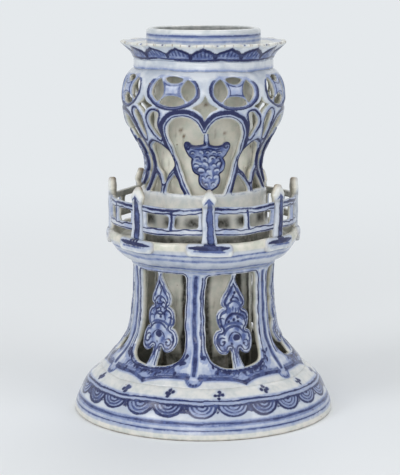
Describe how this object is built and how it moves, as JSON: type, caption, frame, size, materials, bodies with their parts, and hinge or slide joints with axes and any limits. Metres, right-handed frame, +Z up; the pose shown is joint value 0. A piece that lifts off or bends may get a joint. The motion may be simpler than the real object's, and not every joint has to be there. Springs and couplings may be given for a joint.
{
  "type": "pierced porcelain stand",
  "caption": "Openwork porcelain stand: splayed foot, windowed drum, railed gallery, baluster cage of coins and hearts, petalled mouth, round an inner tube.",
  "frame": {"origin": "middle of the flat ring that the foot rests on", "axes": "+Z up along the axis of the stand, -Y towards the front, where a heart is centred"},
  "size_m": [0.13, 0.13, 0.19],
  "materials": {
    "glazed_porcelain": "glossy bluish-white glaze painted in underglaze cobalt blue",
    "painted_porcelain": "glossy glaze over a wash and scrolls of cobalt blue",
    "cream_porcelain": "cream to grey-green glaze of the tube behind the openwork"
  },
  "bodies": {
    "root": {"foot": "glazed_porcelain", "lower_drum": "glazed_porcelain", "window_plaque_1": "painted_porcelain", "window_plaque_2": "painted_porcelain", "window_plaque_3": "painted_porcelain", "window_plaque_4": "painted_porcelain", "window_plaque_5": "painted_porcelain", "window_plaque_6": "painted_porcelain", "gallery_tray": "glazed_porcelain", "post_pad_1": "glazed_porcelain", "post_1": "glazed_porcelain", "rail_panel_1": "glazed_porcelain", "post_pad_2": "glazed_porcelain", "post_2": "glazed_porcelain", "rail_panel_2": "glazed_porcelain", "post_pad_3": "glazed_porcelain", "post_3": "glazed_porcelain", "rail_panel_3": "glazed_porcelain", "post_pad_4": "glazed_porcelain", "post_4": "glazed_porcelain", "rail_panel_4": "glazed_porcelain", "post_pad_5": "glazed_porcelain", "post_5": "glazed_porcelain", "rail_panel_5": "glazed_porcelain", "post_pad_6": "glazed_porcelain", "post_6": "glazed_porcelain", "rail_panel_6": "glazed_porcelain", "post_pad_7": "glazed_porcelain", "post_7": "glazed_porcelain", "rail_panel_7": "glazed_porcelain", "post_pad_8": "glazed_porcelain", "post_8": "glazed_porcelain", "rail_panel_8": "glazed_porcelain", "coin_band": "glazed_porcelain", "heart_band": "glazed_porcelain", "heart_pendant_1": "painted_porcelain", "heart_pendant_2": "painted_porcelain", "heart_pendant_3": "painted_porcelain", "heart_pendant_4": "painted_porcelain", "neck_ring": "glazed_porcelain", "petal_flange": "glazed_porcelain", "mouth_collar": "glazed_porcelain", "inner_sleeve": "cream_porcelain"}
  },
  "joints": []
}
